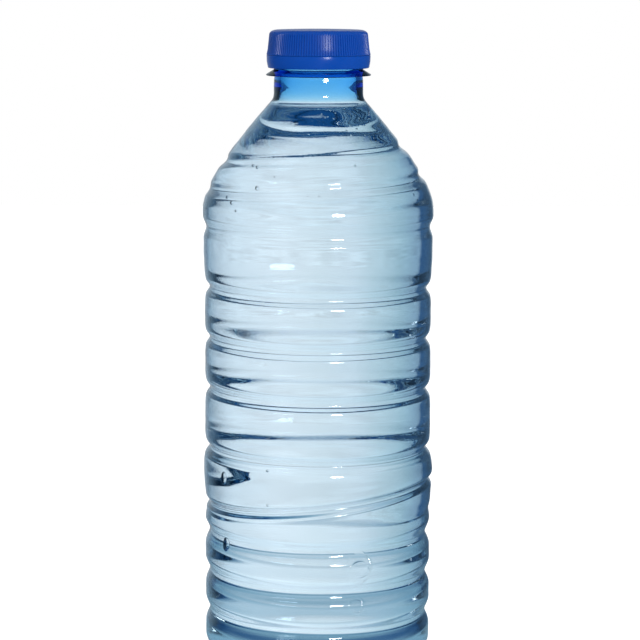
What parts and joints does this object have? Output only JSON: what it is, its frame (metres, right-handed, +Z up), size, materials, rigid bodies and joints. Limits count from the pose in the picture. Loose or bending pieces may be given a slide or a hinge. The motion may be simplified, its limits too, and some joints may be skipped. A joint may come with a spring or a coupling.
{
  "type": "plastic water bottle",
  "caption": "Full half-litre plastic water bottle with pressed rings, a slightly buckled body and a knurled screw cap.",
  "frame": {"origin": "middle of the base, on the surface that the bottle stands on", "axes": "+Z up along the bottle's axis to the cap, -Y towards the viewer of the picture's front side, +X to that viewer's right"},
  "size_m": [0.066, 0.066, 0.2],
  "materials": {
    "bottle_plastic": "clear blue-tinted blown plastic, smooth and glossy",
    "water": "clear water",
    "cap_plastic": "opaque blue moulded plastic, satin gloss",
    "liner_foam": "pale matte foam disc"
  },
  "bodies": {
    "bottle": {"bottle": "bottle_plastic", "water": "water", "tamper_band": "cap_plastic"},
    "cap_seal": {"cap_liner": "liner_foam"},
    "cap": {"cap": "cap_plastic"}
  },
  "joints": [
    {"name": "cap_lift", "type": "slide", "parent": "bottle", "child": "cap_seal", "axis": [0, 0, 1], "range_m": [0, 0.00676]},
    {"name": "cap_turn", "type": "hinge", "parent": "cap_seal", "child": "cap", "pos_m": [0, 0, 0.1962], "axis": [0, 0, 1], "range_deg": [0, 900]}
  ],
  "couplings": [
    {"joint": "cap_lift", "follows": "cap_turn", "m_per_rad": 0.00042972}
  ]
}
